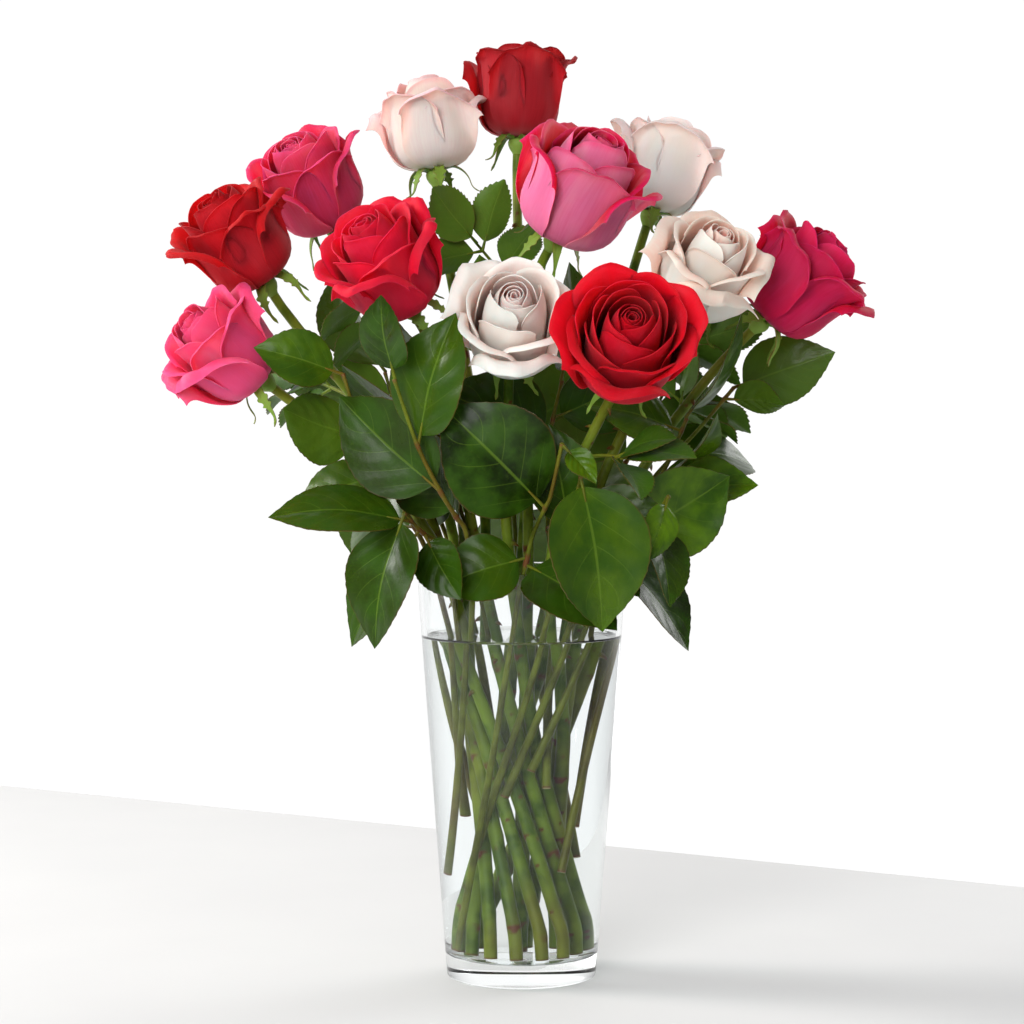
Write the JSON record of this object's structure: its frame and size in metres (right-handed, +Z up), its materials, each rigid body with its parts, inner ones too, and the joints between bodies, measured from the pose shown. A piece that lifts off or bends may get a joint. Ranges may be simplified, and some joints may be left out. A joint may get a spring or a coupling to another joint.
{
  "type": "roses in a vase",
  "caption": "Cut roses in red, pink and cream with salal leaves, standing in a tapered clear glass vase of water.",
  "frame": {"origin": "centre of the vase's flat underside, on the table", "axes": "+Z up along the vase's axis, -Y towards the viewer, +X to the viewer's right"},
  "size_m": [0.42, 0.3068, 0.56],
  "materials": {
    "vase_glass": "clear polished",
    "water": "clear still water",
    "rose_stem": "fresh green bark, satin",
    "calyx": "fresh green, matte",
    "salal_leaf": "glossy, veined",
    "rose_leaf": "satin, veined",
    "red_petals": "velvety",
    "pink_petals": "velvety",
    "cream_petals": "silky, pink towards the middle"
  },
  "bodies": {
    "root": {"rose_01_bloom": "pink_petals", "rose_01_calyx": "calyx", "rose_01_stem": "rose_stem", "rose_02_bloom": "red_petals", "rose_02_calyx": "calyx", "rose_02_stem": "rose_stem", "rose_03_bloom": "pink_petals", "rose_03_calyx": "calyx", "rose_03_stem": "rose_stem", "rose_04_bloom": "red_petals", "rose_04_calyx": "calyx", "rose_04_stem": "rose_stem", "rose_05_bloom": "cream_petals", "rose_05_calyx": "calyx", "rose_05_stem": "rose_stem", "rose_06_bloom": "red_petals", "rose_06_calyx": "calyx", "rose_06_stem": "rose_stem", "rose_07_bloom": "pink_petals", "rose_07_calyx": "calyx", "rose_07_stem": "rose_stem", "rose_08_bloom": "cream_petals", "rose_08_calyx": "calyx", "rose_08_stem": "rose_stem", "rose_09_bloom": "cream_petals", "rose_09_calyx": "calyx", "rose_09_stem": "rose_stem", "rose_10_bloom": "red_petals", "rose_10_calyx": "calyx", "rose_10_stem": "rose_stem", "rose_11_bloom": "cream_petals", "rose_11_calyx": "calyx", "rose_11_stem": "rose_stem", "rose_12_bloom": "pink_petals", "rose_12_calyx": "calyx", "rose_12_stem": "rose_stem", "rose_leaf_01": "rose_leaf", "rose_leaf_02": "rose_leaf", "rose_leaf_03": "rose_leaf", "rose_leaf_04": "rose_leaf", "rose_leaf_05": "rose_leaf", "rose_leaf_06": "rose_leaf", "salal_01": "salal_leaf", "salal_02": "salal_leaf", "salal_03": "salal_leaf", "salal_04": "salal_leaf", "salal_05": "salal_leaf", "salal_06": "salal_leaf", "salal_07": "salal_leaf", "salal_08": "salal_leaf", "salal_09": "salal_leaf", "salal_10": "salal_leaf", "salal_11": "salal_leaf", "salal_12": "salal_leaf", "salal_13": "salal_leaf", "vase": "vase_glass", "water": "water"}
  },
  "joints": []
}
